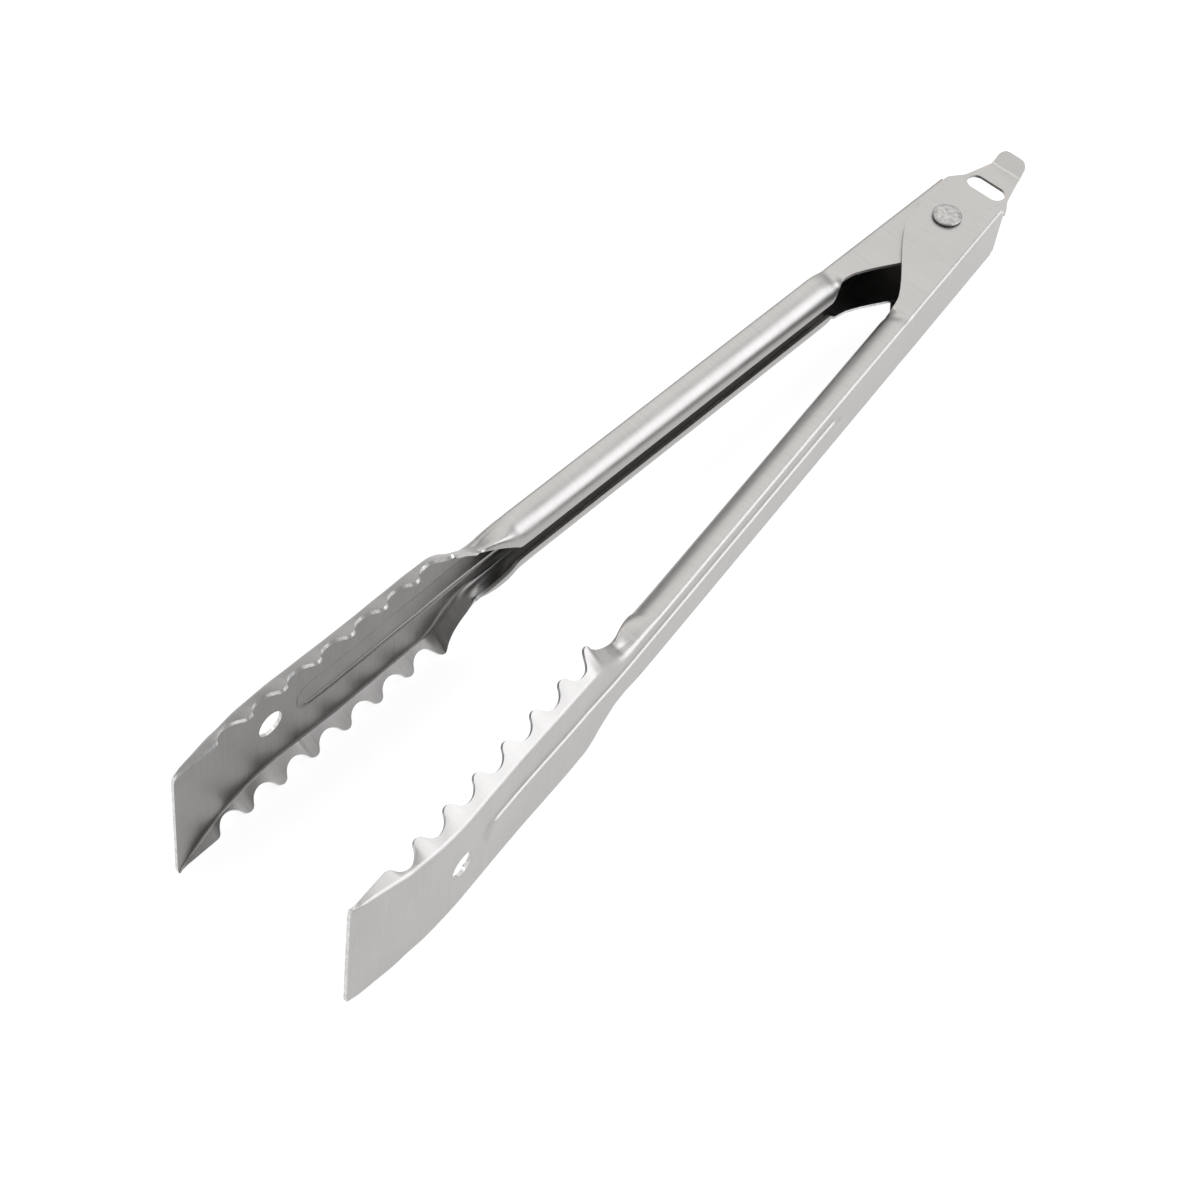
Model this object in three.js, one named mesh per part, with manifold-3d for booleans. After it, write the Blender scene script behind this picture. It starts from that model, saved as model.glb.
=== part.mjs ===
// Spring-loaded kitchen tongs: two pressed steel arms on one rivet, held apart by a torsion spring,
// with a sliding lock plate at the hinge end. Millimetres. The tongs lie open on their side: the jaws
// point to -X, the lock tab to +X, the arms open along Y and the rivet stands upright, along Z.
// Each piece is drawn round the rivet's axis, then placed so that the box of the whole object stands
// on the origin.
import * as THREE from 'three';
import { mergeVertices } from 'three/addons/utils/BufferGeometryUtils.js';
import Module from 'manifold-3d';

const wasm = await Module();
wasm.setup();

// Driving dimensions
const RIVET_PLACE = [119.7, 0, 19.8];
const SHEET = 0.9;
const GAP = 0.3;
const OPEN_ANGLE = THREE.MathUtils.degToRad(4.535);
const WEB_OFFSET = 11.07;
const OUTER_HALF_HEIGHT = 8.92;
const INNER_HALF_HEIGHT = OUTER_HALF_HEIGHT - SHEET - GAP;
const CREASE_RADIUS = 1.2;
const JAW_CREASE_RADIUS = 2.5;

// Distances along an arm are measured from the rivet towards the tip.
const REAR_END = -14.6;
const WEB_REAR = -13.1;
const CHEEK_END = 36.5;
const HANDLE_START = 46;
const HANDLE_END = 158;
const CURL_START = 236;
const TIP = 273.16;

const RIB_START = 77;
const RIB_END = 226;
const RIB_HEIGHT = 0.5;
const RIB_TOP_HALF = 3.7;
const RIB_FOOT_HALF = 4.9;

const TOOTH_PITCH = 10.73;
const FIRST_TOOTH = 260.74;
const VALLEY_COUNT = 7;
const TOOTH_RADIUS = 1.85;
const TOOTH_DEPTH = 3.4;
const DRAIN_HOLE_AT = 239;
const DRAIN_HOLE_RADIUS = 3.6;

const SHANK_RADIUS = 2.4;
const RIVET_HOLE_RADIUS = 2.5;
const PLATE_SLOT_RADIUS = 2.75;
const HEAD_RADIUS = 4.03;
const HEAD_HEIGHT = 1.05;

const WIRE_RADIUS = 0.7;
const COIL_RADIUS = 5.0;
const COIL_HALF_LENGTH = 4.1;
const COIL_TURNS = 5;
const LEG_REACH = 32;
const LEG_SPREAD = 11.75;

const PLATE_ANGLE = THREE.MathUtils.degToRad(-2.5);
const PLATE_TOP = INNER_HALF_HEIGHT - SHEET - GAP;
const PLATE_BOTTOM = PLATE_TOP - SHEET;
const PLATE_TRAVEL = 8;

// One pressed section of an arm: web position, corner height, free edge, and how far the flange is
// rolled over (1 is the round handle lip, 0 a straight flange).
const NECK = [
  { u: 161, web: 0, corner: 8.95, edge: [7.3, 2.6], roll: 1 },
  { u: 164, web: 0, corner: 9.15, edge: [7.1, 4.6], roll: 0.95 },
  { u: 167, web: 0, corner: 9.25, edge: [6.6, 6.4], roll: 0.85 },
  { u: 170, web: 0, corner: 9.15, edge: [6.0, 7.9], roll: 0.6 },
  { u: 172.5, web: 0, corner: 8.8, edge: [5.5, 8.9], roll: 0.3 },
  { u: 174.5, web: 0, corner: 8.55, edge: [5.2, 9.8], roll: 0.1 },
  { u: 176.5, web: 0.02, corner: 8.85, edge: [4.8, 11.5], roll: 0 },
  { u: 179, web: 0.05, corner: 10.4, edge: [4.6, 13.4], roll: 0 },
  { u: 181.6, web: 0.1, corner: 12.3, edge: [4.9, 15.2], roll: 0 },
  { u: 184, web: 0.2, corner: 13.8, edge: [5.5, 17.4], roll: 0 },
  { u: 186.2, web: 0.25, corner: 14.8, edge: [6.5, 19.2], roll: 0 },
  { u: 190, web: 0.4, corner: 15.7, edge: [5.9, 19.45], roll: 0 },
];

const mix = (a, b, t) => a + (b - a) * t;

function smooth(from, to, value) {
  const t = THREE.MathUtils.clamp((value - from) / (to - from), 0, 1);
  return t * t * (3 - 2 * t);
}

// Booleans -----------------------------------------------------------------------------------

function toSolid(geometry) {
  const bare = geometry.clone();
  bare.deleteAttribute('normal');
  bare.deleteAttribute('uv');
  const merged = mergeVertices(bare, 1e-4);
  const mesh = new wasm.Mesh({
    numProp: 3,
    vertProperties: new Float32Array(merged.attributes.position.array),
    triVerts: new Uint32Array(merged.index.array),
  });
  return new wasm.Manifold(mesh);
}

function toGeometry(solid) {
  const mesh = solid.getMesh();
  const geometry = new THREE.BufferGeometry();
  geometry.setAttribute('position', new THREE.BufferAttribute(new Float32Array(mesh.vertProperties), 3));
  geometry.setIndex(new THREE.BufferAttribute(new Uint32Array(mesh.triVerts), 1));
  return geometry;
}

function cut(geometry, cutters) {
  let solid = toSolid(geometry);
  for (const cutter of cutters) {
    solid = wasm.Manifold.difference(solid, toSolid(cutter));
  }
  return toGeometry(solid);
}

// A prism with its outline in the X-Y plane, from one height to another.
function prism(outline, bottom, top, holes = []) {
  const shape = new THREE.Shape(outline.map(([x, y]) => new THREE.Vector2(x, y)));
  shape.holes = holes;
  const geometry = new THREE.ExtrudeGeometry(shape, {
    depth: top - bottom,
    bevelEnabled: false,
    curveSegments: 12,
  });
  return geometry.translate(0, 0, bottom);
}

function roundPrism(x, y, radius, bottom, top, sides = 28) {
  const step = (2 * Math.PI) / sides;
  const outline = [];
  for (let i = 0; i < sides; i += 1) {
    outline.push([x + radius * Math.cos(i * step), y + radius * Math.sin(i * step)]);
  }
  return prism(outline, bottom, top);
}

// Arms ---------------------------------------------------------------------------------------

// The line through the tooth peaks, as the flange's free edge at a distance along the arm.
const peakLine = (u) => [mix(5.43, 7.2, (u - 196.34) / 64.4), mix(19.08, 19.64, (u - 196.34) / 64.4)];

function jawStation(u) {
  const curl = Math.max(0, u - CURL_START);
  const toTip = curl / (TIP - CURL_START);
  const [n, z] = peakLine(u);
  const spare = 1 - smooth(259, 264, u);
  return {
    u,
    web: mix(0.4, 1, smooth(190, 222, u)) + (curl * curl) / 226,
    corner: Math.min(15.9 + 3.85 * toTip ** 1.6, z - 0.25),
    edge: [n + 0.5 * spare, z + 0.36 * spare],
    roll: 0,
  };
}

// Stations from the hinge to the tip. The cheeks of the inner arm are stepped in by one sheet.
function armStations(cheekHalfHeight) {
  const wide = { web: 0, corner: cheekHalfHeight, edge: [21, cheekHalfHeight], roll: 0 };
  const narrow = { web: 0, corner: cheekHalfHeight, edge: [6.3, cheekHalfHeight], roll: 0 };
  const stations = [
    { ...wide, u: REAR_END },
    { ...wide, u: 35 },
    { ...narrow, u: CHEEK_END },
    { ...narrow, u: 38 },
  ];
  for (let u = 39.5; u < HANDLE_START; u += 1.5) {
    const t = smooth(38, HANDLE_START, u);
    stations.push({
      u,
      web: 0,
      corner: mix(cheekHalfHeight, OUTER_HALF_HEIGHT, t),
      edge: [mix(6.3, 7.3, t), mix(cheekHalfHeight, 2.5, t)],
      roll: t,
    });
  }
  for (const u of [HANDLE_START, RIB_START - 4, RIB_START, 117, HANDLE_END]) {
    stations.push({ u, web: 0, corner: OUTER_HALF_HEIGHT, edge: [7.3, 2.5], roll: 1 });
  }
  stations.push(...NECK);
  for (const u of [196, 206, 216, RIB_END, RIB_END + 4, CURL_START, 242, 248, 254, 259, 264, 269, TIP]) {
    stations.push(jawStation(u));
  }
  return stations;
}

function ribRise(u) {
  return RIB_HEIGHT * smooth(RIB_START - 4, RIB_START, u) * (1 - smooth(RIB_END, RIB_END + 4, u));
}

// Half of a section from the web's middle to the free edge, as [inward, up] pairs.
function halfSection(station) {
  const { u, web, corner, edge, roll } = station;
  const bulge = web - ribRise(u);
  const start = new THREE.Vector2(web, corner);
  const end = new THREE.Vector2(edge[0], edge[1]);
  const near = start.clone().lerp(end, 1 / 3).lerp(new THREE.Vector2(web + 5.5, corner), roll);
  const far = start.clone().lerp(end, 2 / 3).lerp(new THREE.Vector2(edge[0] + 0.55, edge[1] + 3.9), roll);
  const along = near.clone().sub(start).normalize();
  const turn = Math.acos(THREE.MathUtils.clamp(along.y, -1, 1));
  const reach = Math.min(mix(CREASE_RADIUS, JAW_CREASE_RADIUS, smooth(172, 190, u)) * Math.tan(turn / 2),
    start.distanceTo(end) * 0.4);
  const radius = reach / Math.tan(turn / 2);
  const points = [[bulge, 0], [bulge, RIB_TOP_HALF], [web, RIB_FOOT_HALF]];
  for (let i = 0; i <= 3; i += 1) {
    const angle = (turn * i) / 3;
    points.push([web + radius * (1 - Math.cos(angle)), corner - reach + radius * Math.sin(angle)]);
  }
  const flange = new THREE.CubicBezierCurve(start.clone().addScaledVector(along, reach), near, far, end);
  for (let i = 1; i <= 5; i += 1) {
    const point = flange.getPoint(i / 5);
    points.push([point.x, point.y]);
  }
  return points;
}

function wholeSection(station) {
  const half = halfSection(station);
  const lower = half.slice(1).reverse().map(([n, z]) => [n, -z]);
  return [...lower, ...half];
}

// The same section moved inwards by the sheet thickness, square to its own line.
function offsetSection(section) {
  return section.map(([n, z], i) => {
    const before = section[Math.max(i - 1, 0)];
    const after = section[Math.min(i + 1, section.length - 1)];
    const dn = after[0] - before[0];
    const dz = after[1] - before[1];
    const length = Math.hypot(dn, dz);
    return [n + (SHEET * dz) / length, z - (SHEET * dn) / length];
  });
}

// A closed shell of sheet metal through all the stations, in the arm's own frame.
function sheetShell(stations) {
  const outside = stations.map(wholeSection);
  const inside = outside.map(offsetSection);
  const width = outside[0].length;
  const positions = [];
  for (const skin of [outside, inside]) {
    skin.forEach((section, i) => {
      section.forEach(([n, z]) => positions.push(-stations[i].u, n - WEB_OFFSET, z));
    });
  }
  const layer = stations.length * width;
  const at = (skin, i, j) => skin * layer + i * width + j;
  const index = [];
  const quad = (a, b, c, d) => index.push(a, b, c, a, c, d);
  const last = stations.length - 1;
  const rim = width - 1;
  for (let i = 0; i < last; i += 1) {
    for (let j = 0; j < rim; j += 1) {
      quad(at(0, i, j), at(0, i, j + 1), at(0, i + 1, j + 1), at(0, i + 1, j));
      quad(at(1, i, j), at(1, i + 1, j), at(1, i + 1, j + 1), at(1, i, j + 1));
    }
    quad(at(0, i, 0), at(0, i + 1, 0), at(1, i + 1, 0), at(1, i, 0));
    quad(at(0, i, rim), at(1, i, rim), at(1, i + 1, rim), at(0, i + 1, rim));
  }
  for (let j = 0; j < rim; j += 1) {
    quad(at(0, 0, j), at(1, 0, j), at(1, 0, j + 1), at(0, 0, j + 1));
    quad(at(0, last, j), at(0, last, j + 1), at(1, last, j + 1), at(1, last, j));
  }
  const geometry = new THREE.BufferGeometry();
  geometry.setAttribute('position', new THREE.Float32BufferAttribute(positions, 3));
  geometry.setIndex(index);
  return geometry;
}

const armPoint = ([u, n]) => [-u, n - WEB_OFFSET];

// Everything outside the cheek's outline: the long diagonal, the rounded ear round the rivet and
// the square rear end.
function cheekTrim() {
  const outline = [
    [37.6, 6.2], [34.8, 6.6], [31.7, 7.7], [22.1, 12.5], [15.2, 16.1], [9.4, 18.6], [7.2, 19.0],
    [1.2, 19.0], [-1, 19.9], [-4.7, 19.5], [-8, 18.4], [-10.4, 17], [-13.2, 14.1], [-14.1, 13.3],
    [WEB_REAR, 1.5], [WEB_REAR, -2], [-20, -2], [-20, 30], [37.6, 30],
  ];
  return prism(outline.map(armPoint).reverse(), -12, 12);
}

// Small square reliefs where the web's rear end meets each cheek's bend.
function cornerReliefs(halfHeight) {
  const outline = [[-11.9, -2], [-16, -2], [-16, 1.9], [-11.9, 1.9]].map(armPoint);
  const low = halfHeight - 1.7;
  return [prism(outline, low, 12), prism(outline, -12, -low)];
}

// The row of scallops, drawn along the line of tooth peaks and down from it. The tooth beside the
// neck stands a little taller than the others.
function scallopOutline() {
  const half = TOOTH_PITCH / 2;
  const drop = TOOTH_DEPTH - TOOTH_RADIUS;
  const valleyRadius = (half * half + drop * drop - TOOTH_RADIUS * TOOTH_RADIUS) / (2 * (TOOTH_RADIUS + drop));
  const sweep = Math.atan2(half, valleyRadius - drop);
  const steepSweep = THREE.MathUtils.degToRad(78);
  const points = [[-0.6, 4], [-0.6, 1.2], [0.05, 1.1], [0.35, 0.85]];
  for (let tooth = 0; tooth < VALLEY_COUNT; tooth += 1) {
    const left = tooth * TOOTH_PITCH;
    const start = tooth === 0 ? -steepSweep : -sweep;
    for (let i = 1; i <= 4 && tooth > 0; i += 1) {
      const angle = (sweep * i) / 4;
      points.push([left + TOOTH_RADIUS * Math.sin(angle), TOOTH_RADIUS * (Math.cos(angle) - 1)]);
    }
    for (let i = 1; i <= 7; i += 1) {
      const angle = mix(start, sweep, i / 7);
      points.push([
        left + half + valleyRadius * Math.sin(angle),
        valleyRadius - TOOTH_DEPTH - valleyRadius * Math.cos(angle),
      ]);
    }
    for (let i = 3; i >= 0; i -= 1) {
      const angle = (sweep * i) / 4;
      points.push([
        left + TOOTH_PITCH - TOOTH_RADIUS * Math.sin(angle),
        TOOTH_RADIUS * (Math.cos(angle) - 1),
      ]);
    }
  }
  const end = VALLEY_COUNT * TOOTH_PITCH + 2.7;
  points.push([end, 0], [end, 4]);
  return points;
}

// The scallop cutter for the upper flange or the lower one, standing square to the flange.
function scallopCutter(side) {
  const lastTooth = FIRST_TOOTH - VALLEY_COUNT * TOOTH_PITCH;
  const foot = peakLine(lastTooth);
  const head = peakLine(FIRST_TOOTH);
  const along = new THREE.Vector3(lastTooth - FIRST_TOOTH, head[0] - foot[0], side * (head[1] - foot[1]));
  const outward = new THREE.Vector3(0, 0.815, side * 0.58);
  along.normalize();
  outward.addScaledVector(along, -outward.dot(along)).normalize();
  const square = new THREE.Vector3().crossVectors(along, outward);
  const geometry = prism(scallopOutline().reverse(), -5, 5);
  const frame = new THREE.Matrix4().makeBasis(along, outward, square);
  frame.setPosition(-lastTooth, foot[0] - WEB_OFFSET, side * foot[1]);
  return geometry.applyMatrix4(frame);
}

function drainHole() {
  const geometry = roundPrism(0, 0, DRAIN_HOLE_RADIUS, -4, 4);
  geometry.rotateX(Math.PI / 2);
  return geometry.translate(-DRAIN_HOLE_AT, 1 - WEB_OFFSET, 0);
}

function armGeometry(cheekHalfHeight) {
  const shell = sheetShell(armStations(cheekHalfHeight));
  return cut(shell, [
    cheekTrim(),
    ...cornerReliefs(cheekHalfHeight),
    roundPrism(0, 0, RIVET_HOLE_RADIUS, -12, 12),
    scallopCutter(1),
    scallopCutter(-1),
    drainHole(),
  ]);
}

function mirrorAcross(geometry) {
  geometry.scale(1, -1, 1);
  const index = geometry.index.array;
  for (let i = 0; i < index.length; i += 3) {
    [index[i], index[i + 1]] = [index[i + 1], index[i]];
  }
  return geometry;
}

const outerArm = () => armGeometry(OUTER_HALF_HEIGHT).rotateZ(OPEN_ANGLE);
const innerArm = () => mirrorAcross(armGeometry(INNER_HALF_HEIGHT)).rotateZ(-OPEN_ANGLE);

// Hinge hardware -----------------------------------------------------------------------------

function rivet() {
  const under = OUTER_HALF_HEIGHT + GAP;
  const top = under + HEAD_HEIGHT;
  const half = [
    [SHANK_RADIUS, under], [HEAD_RADIUS - 0.2, under], [HEAD_RADIUS, under + 0.25],
    [HEAD_RADIUS - 0.25, under + 0.7], [HEAD_RADIUS - 1.1, top - 0.08], [0, top],
  ];
  const profile = [...half.map(([r, z]) => [r, -z]).reverse(), ...half];
  const geometry = new THREE.LatheGeometry(profile.map(([r, z]) => new THREE.Vector2(r, z)), 28);
  return geometry.rotateX(Math.PI / 2);
}

function sleeve() {
  const bottom = GAP - PLATE_TOP;
  const top = PLATE_BOTTOM - GAP;
  const profile = [[2.7, bottom], [3.3, bottom], [3.3, top], [2.7, top], [2.7, bottom]];
  const geometry = new THREE.LatheGeometry(profile.map(([r, z]) => new THREE.Vector2(r, z)), 24);
  return geometry.rotateX(Math.PI / 2);
}

// The spring's centre line: a leg from the outer arm's web, the coil, and a leg to the inner web.
class SpringLine extends THREE.Curve {
  getPoint(t, target = new THREE.Vector3()) {
    const legEnd = new THREE.Vector3(-LEG_REACH, -LEG_SPREAD, -COIL_HALF_LENGTH);
    const sweep = 2 * Math.PI * COIL_TURNS + Math.PI - 2 * this.lean;
    const share = 0.12;
    if (t < share || t > 1 - share) {
      const away = t < share ? 1 - t / share : 1 - (1 - t) / share;
      const foot = this.coilPoint(0, sweep);
      const point = foot.lerp(legEnd, away);
      return target.set(point.x, t < share ? point.y : -point.y, t < share ? point.z : -point.z);
    }
    return target.copy(this.coilPoint((t - share) / (1 - 2 * share), sweep));
  }

  get lean() {
    return Math.atan2(LEG_SPREAD - COIL_RADIUS, LEG_REACH);
  }

  coilPoint(t, sweep) {
    const angle = -Math.PI / 2 - this.lean + sweep * t;
    const height = COIL_HALF_LENGTH * (2 * t - 1);
    return new THREE.Vector3(COIL_RADIUS * Math.cos(angle), COIL_RADIUS * Math.sin(angle), height);
  }
}

function spring() {
  const shape = new THREE.Shape();
  shape.absarc(0, 0, WIRE_RADIUS, 0, 2 * Math.PI);
  const line = new SpringLine();
  return new THREE.ExtrudeGeometry(shape, {
    extrudePath: line,
    steps: 130,
    curveSegments: 3,
    bevelEnabled: false,
  });
}

function plateOutline() {
  const side = [
    [-14, 6.6], [-13, 7.6], [14.65, 7.6], [14.65, 9.6], [15.05, 10.0], [16.2, 9.6], [19.6, 7.15],
    [28.4, 4.6], [31.2, 4.2], [32.3, 3.7], [33.0, 2.7],
  ];
  return [...side.map(([x, y]) => [x, -y]), ...side.reverse()];
}

function stadium(x, y, halfLength, radius, alongX) {
  const path = new THREE.Path();
  const reach = halfLength - radius;
  const turn = alongX ? 0 : Math.PI / 2;
  const [dx, dy] = alongX ? [reach, 0] : [0, reach];
  path.absarc(x + dx, y + dy, radius, turn - Math.PI / 2, turn + Math.PI / 2);
  path.absarc(x - dx, y - dy, radius, turn + Math.PI / 2, turn + 1.5 * Math.PI);
  return path;
}

// The plate's side view, extruded across it: flat, then bent up at the end as a thumb tab.
function plateStrip() {
  const bend = Math.PI / 4;
  const radius = 2.2;
  const start = 27.6;
  const pointsAt = (r) => {
    const points = [];
    for (let i = 0; i <= 4; i += 1) {
      const angle = (bend * i) / 4;
      points.push([start + r * Math.sin(angle), PLATE_TOP + radius - r * Math.cos(angle)]);
    }
    const [x, z] = points[4];
    points.push([x + 3.9 * Math.cos(bend), z + 3.9 * Math.sin(bend)]);
    return points;
  };
  const outline = [[-16, PLATE_TOP], ...pointsAt(radius), ...pointsAt(radius + SHEET).reverse(), [-16, PLATE_BOTTOM]];
  return prism(outline.reverse(), -12, 12).rotateX(Math.PI / 2);
}

function lockPlate() {
  const holes = [
    stadium(-PLATE_TRAVEL / 2, 0, PLATE_TRAVEL / 2 + PLATE_SLOT_RADIUS, PLATE_SLOT_RADIUS, true),
    stadium(19.4, 0, 5.85, 2.65, false),
  ];
  const blank = toSolid(prism(plateOutline(), -20, 30, holes));
  const solid = wasm.Manifold.intersection(toSolid(plateStrip()), blank);
  return toGeometry(solid).rotateZ(PLATE_ANGLE);
}

// Assembly -----------------------------------------------------------------------------------

const BRUSHED_STEEL = { color: 0xc9cbcc, roughness: 0.32, metalness: 1 };
const RIVET_STEEL = { color: 0xa9a9a6, roughness: 0.42, metalness: 1 };
const SPRING_STEEL = { color: 0x8f9193, roughness: 0.38, metalness: 1 };

function add(parent, name, geometry, finish) {
  geometry.deleteAttribute('uv');
  const flat = geometry.index ? geometry.toNonIndexed() : geometry;
  flat.computeVertexNormals();
  const mesh = new THREE.Mesh(flat, new THREE.MeshStandardMaterial(finish));
  mesh.name = name;
  parent.add(mesh);
}

const hinge = new THREE.Group();
hinge.position.set(...RIVET_PLACE);
add(hinge, 'outer_arm', outerArm(), BRUSHED_STEEL);
add(hinge, 'inner_arm', innerArm(), BRUSHED_STEEL);
add(hinge, 'pivot_rivet', rivet(), RIVET_STEEL);
add(hinge, 'spacer_sleeve', sleeve(), SPRING_STEEL);
add(hinge, 'torsion_spring', spring(), SPRING_STEEL);
add(hinge, 'lock_plate', lockPlate(), BRUSHED_STEEL);

const group = new THREE.Group();
group.name = 'kitchen_tongs';
group.add(hinge);

export default group;
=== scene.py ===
"""Finished model of a pair of spring-loaded steel kitchen tongs.

The tongs are made of pressed stainless sheet. Every pressing is drawn here as its flat blank would be
rolled and pressed: a section is swept along each arm from the hinge to the tip, and the free edges
follow the shears' outline. Lengths inside the classes are millimetres from the rivet's axis; the
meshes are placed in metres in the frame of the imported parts.
"""
import logging
import math
from dataclasses import dataclass
from enum import Enum
from typing import Any, Callable, Optional, Sequence, Union

import bmesh
import bpy
import numpy as np
from mathutils import Matrix, Vector


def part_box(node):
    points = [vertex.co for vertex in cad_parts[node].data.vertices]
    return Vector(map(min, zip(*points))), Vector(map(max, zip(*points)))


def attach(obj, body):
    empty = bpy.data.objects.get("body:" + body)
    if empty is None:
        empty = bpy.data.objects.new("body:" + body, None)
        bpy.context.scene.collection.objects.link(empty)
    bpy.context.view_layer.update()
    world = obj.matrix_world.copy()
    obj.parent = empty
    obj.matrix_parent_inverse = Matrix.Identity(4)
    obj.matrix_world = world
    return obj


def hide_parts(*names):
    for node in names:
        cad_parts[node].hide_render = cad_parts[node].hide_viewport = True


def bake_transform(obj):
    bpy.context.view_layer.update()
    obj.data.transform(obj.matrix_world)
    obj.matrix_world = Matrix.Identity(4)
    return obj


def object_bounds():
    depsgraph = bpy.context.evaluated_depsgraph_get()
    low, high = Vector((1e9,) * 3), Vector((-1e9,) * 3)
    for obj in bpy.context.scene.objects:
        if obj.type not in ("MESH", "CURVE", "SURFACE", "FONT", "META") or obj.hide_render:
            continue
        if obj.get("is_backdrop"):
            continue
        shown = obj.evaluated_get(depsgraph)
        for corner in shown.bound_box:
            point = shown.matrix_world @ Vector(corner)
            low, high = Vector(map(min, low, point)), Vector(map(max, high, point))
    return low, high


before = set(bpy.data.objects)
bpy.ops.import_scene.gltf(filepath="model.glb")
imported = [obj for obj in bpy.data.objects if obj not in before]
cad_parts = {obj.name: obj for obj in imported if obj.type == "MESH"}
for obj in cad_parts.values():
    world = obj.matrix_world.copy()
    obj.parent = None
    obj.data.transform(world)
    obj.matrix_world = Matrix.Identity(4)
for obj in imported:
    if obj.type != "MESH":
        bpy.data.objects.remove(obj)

log = logging.getLogger("tongs")

MM = 0.001
Number = Union[int, float]
Operand = Union["Value", Number]
Points = np.ndarray


class Side(Enum):
    """Which side of the tongs an arm is on; the value turns +Y into the way it faces inwards."""

    OUTER = 1
    INNER = -1


class Body(Enum):
    """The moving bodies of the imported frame."""

    OUTER_ARM = "outer_arm"
    INNER_ARM = "inner_arm"
    LOCK_PLATE = "lock_plate"


# Shader maths ---


class Value:
    """A number that varies over a surface, usable in plain arithmetic."""

    def __init__(self, sheet: "NodeSheet", socket: bpy.types.NodeSocket) -> None:
        """Wrap a socket.

        Args:
            sheet: The node sheet that new Math nodes are added to.
            socket: The output socket that carries the number.
        """
        self.sheet = sheet
        self.socket = socket

    def _math(self, operation: str, *others: Operand, swap: bool = False) -> "Value":
        """Add one Math node.

        Args:
            operation: The Math node's operation.
            *others: The other operands.
            swap: Whether this value is the second operand.

        Returns:
            The node's result.
        """
        operands: list[Operand] = [self, *others]
        if swap:
            operands.reverse()
        inputs = dict(enumerate(operands))
        node = self.sheet.node("ShaderNodeMath", {"operation": operation}, inputs)
        return Value(self.sheet, node.outputs[0])

    def __add__(self, other: Operand) -> "Value":
        """Return the sum."""
        return self._math("ADD", other)

    __radd__ = __add__

    def __mul__(self, other: Operand) -> "Value":
        """Return the product."""
        return self._math("MULTIPLY", other)

    __rmul__ = __mul__

    def __sub__(self, other: Operand) -> "Value":
        """Return the difference."""
        return self._math("SUBTRACT", other)

    def __rsub__(self, other: Operand) -> "Value":
        """Return the difference with this value taken away."""
        return self._math("SUBTRACT", other, swap=True)

    def clipped(self) -> "Value":
        """Return this value held between 0 and 1."""
        return self._math("MAXIMUM", 0.0)._math("MINIMUM", 1.0)

    def stepped(self, low: float, high: float) -> "Value":
        """Rise smoothly from 0 at one value to 1 at another.

        Args:
            low: The value that gives 0.
            high: The value that gives 1.

        Returns:
            The smoothed step.
        """
        node = self.sheet.node(
            "ShaderNodeMapRange",
            {"interpolation_type": "SMOOTHSTEP"},
            {"Value": self, "From Min": low, "From Max": high},
        )
        return Value(self.sheet, node.outputs["Result"])


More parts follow.
